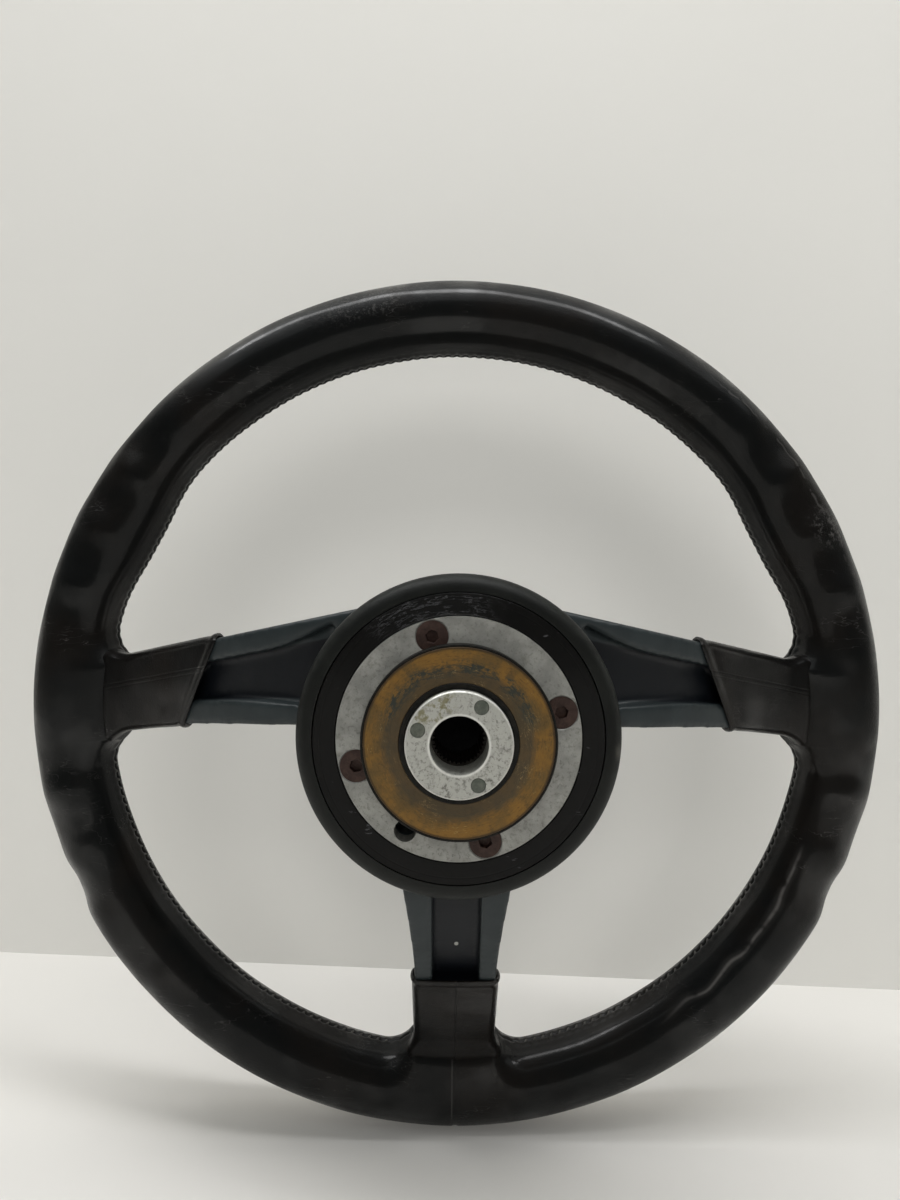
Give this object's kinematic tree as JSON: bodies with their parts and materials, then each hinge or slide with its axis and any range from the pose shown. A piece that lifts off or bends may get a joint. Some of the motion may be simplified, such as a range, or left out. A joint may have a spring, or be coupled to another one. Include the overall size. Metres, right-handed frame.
{
  "type": "car steering wheel",
  "caption": "Deep-dished three-spoke car steering wheel with a leather grip, a column hub with a horn slip ring and a horn pad that presses in.",
  "frame": {"origin": "centre of the bore at the end face of the hub's boss, where the column leaves", "axes": "-Y along the steering column, +Z towards the top of the wheel, +X to the right as the column side is seen"},
  "size_m": [0.38, 0.1206, 0.3799],
  "materials": {
    "arm_paint": "satin",
    "rod_steel": "plain",
    "foam": "matte",
    "leather": "semi-gloss, worn",
    "aluminium": "satin, stained",
    "steel": "oiled",
    "dull_steel": "dull",
    "rusty_steel": "rusted",
    "insulator": "greasy",
    "brass": "worn",
    "shroud_plastic": "satin",
    "black_plastic": "scuffed",
    "zinc_steel": "satin",
    "hard_paper": "matte",
    "lead_sleeve": "satin",
    "pad_plastic": "grained",
    "spring_steel": "bright"
  },
  "bodies": {
    "wheel": {"spider": "arm_paint", "rim_core": "rod_steel", "rim_foam": "foam", "rim_leather": "leather", "wrap_left": "leather", "wrap_right": "leather", "wrap_bottom": "leather", "hub": "aluminium", "splined_bush": "steel", "dowel_pins": "dull_steel", "hub_screws": "rusty_steel", "slip_ring_carrier": "insulator", "slip_ring": "brass", "slip_ring_tab": "brass", "shroud": "shroud_plastic", "trim_ring": "black_plastic", "horn_base": "zinc_steel", "base_screws": "zinc_steel", "contact_insulator": "hard_paper", "contact_ring": "brass", "horn_lead": "lead_sleeve", "horn_springs": "spring_steel"},
    "horn": {"horn_pad": "pad_plastic", "pad_carrier": "zinc_steel", "guide_pins": "zinc_steel", "contact_stud": "brass"}
  },
  "joints": [
    {"name": "horn_press", "type": "slide", "parent": "wheel", "child": "horn", "axis": [0, -1, 0], "range_m": [0, 0.0024], "stiffness_N_per_m": 4000, "springref_m": -0.003, "deforming": ["horn_springs"]}
  ]
}
